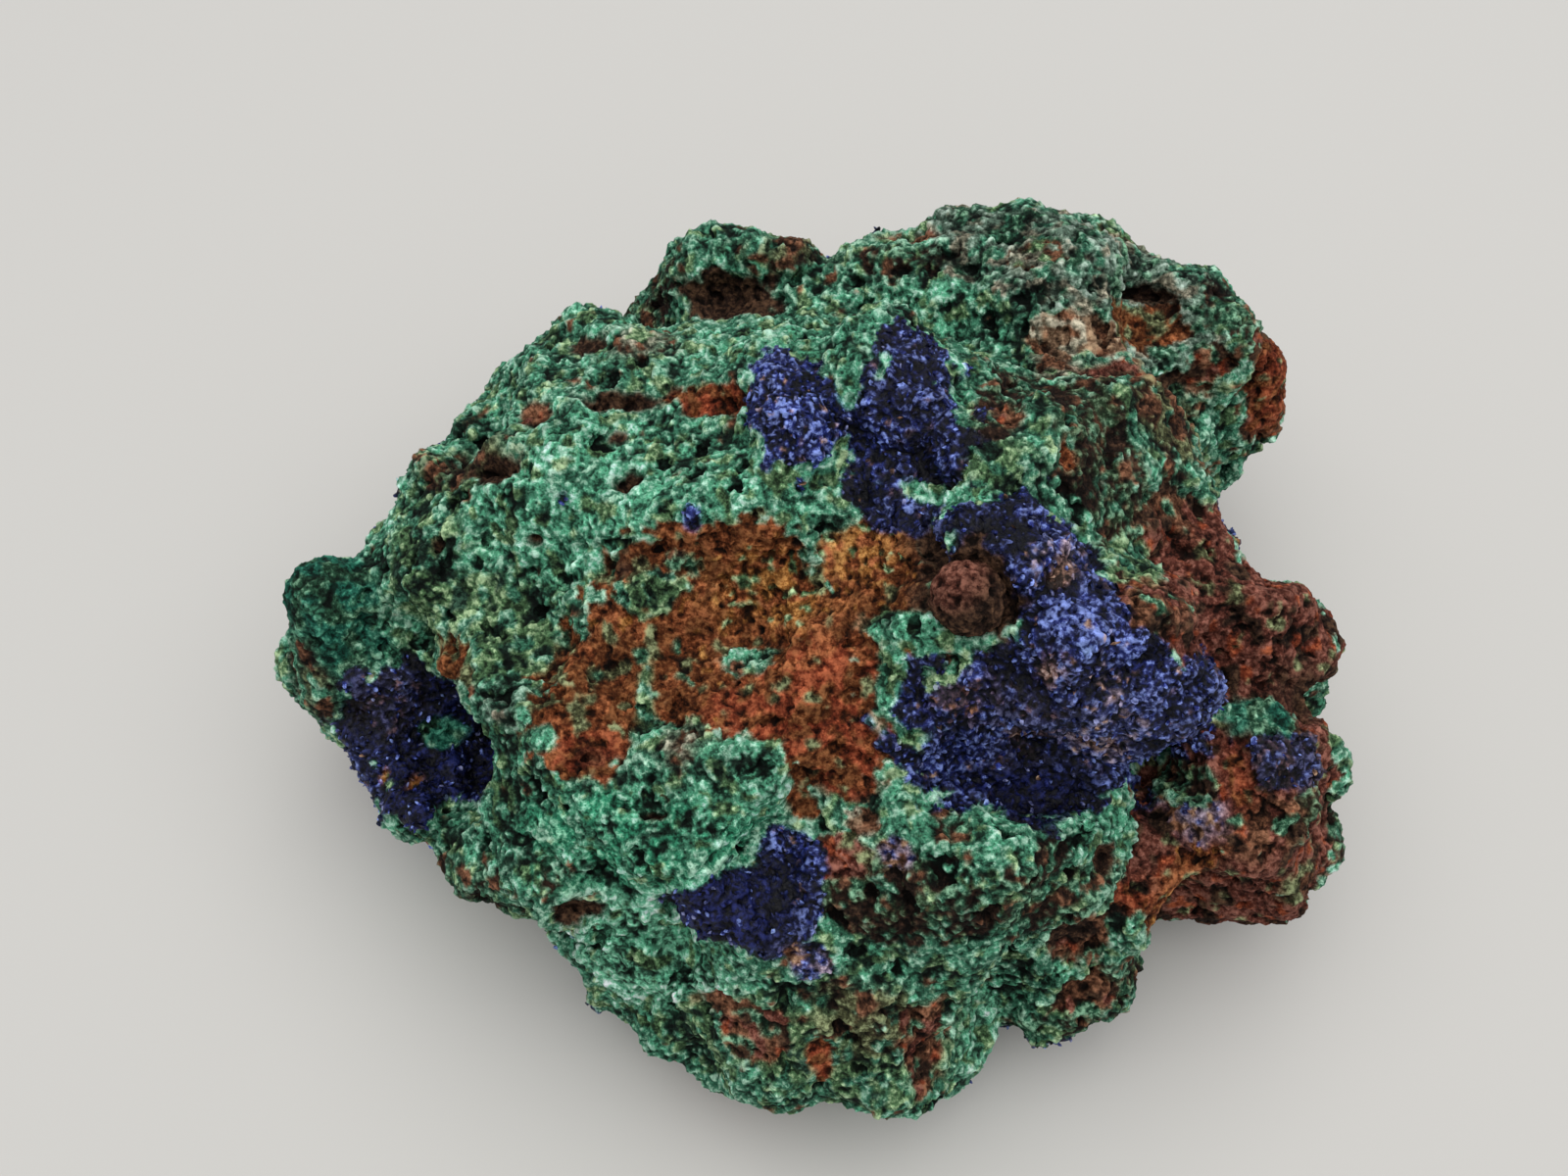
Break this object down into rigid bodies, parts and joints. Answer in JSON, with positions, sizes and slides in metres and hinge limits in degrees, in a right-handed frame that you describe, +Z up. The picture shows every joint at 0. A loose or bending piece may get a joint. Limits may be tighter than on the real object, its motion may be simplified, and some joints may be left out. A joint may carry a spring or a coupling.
{
  "type": "azurite malachite specimen",
  "caption": "Free-standing lump of intergrown minerals: green malachite crusts and blue azurite bosses on rusty, pitted limonite, with a flat broken underside.",
  "frame": {"origin": "middle of the bounding box's underside, in the plane of the flat broken face that the lump rests on", "axes": "+X along the longest side, towards the right as seen from the front; +Y towards the back; +Z up, out of the crusted top"},
  "size_m": [0.073, 0.0624, 0.036],
  "materials": {
    "malachite_azurite_limonite": "rough, granular natural mineral crust, green with deep blue and rusty orange areas"
  },
  "bodies": {
    "root": {"azurite_malachite_specimen": "malachite_azurite_limonite"}
  },
  "joints": []
}
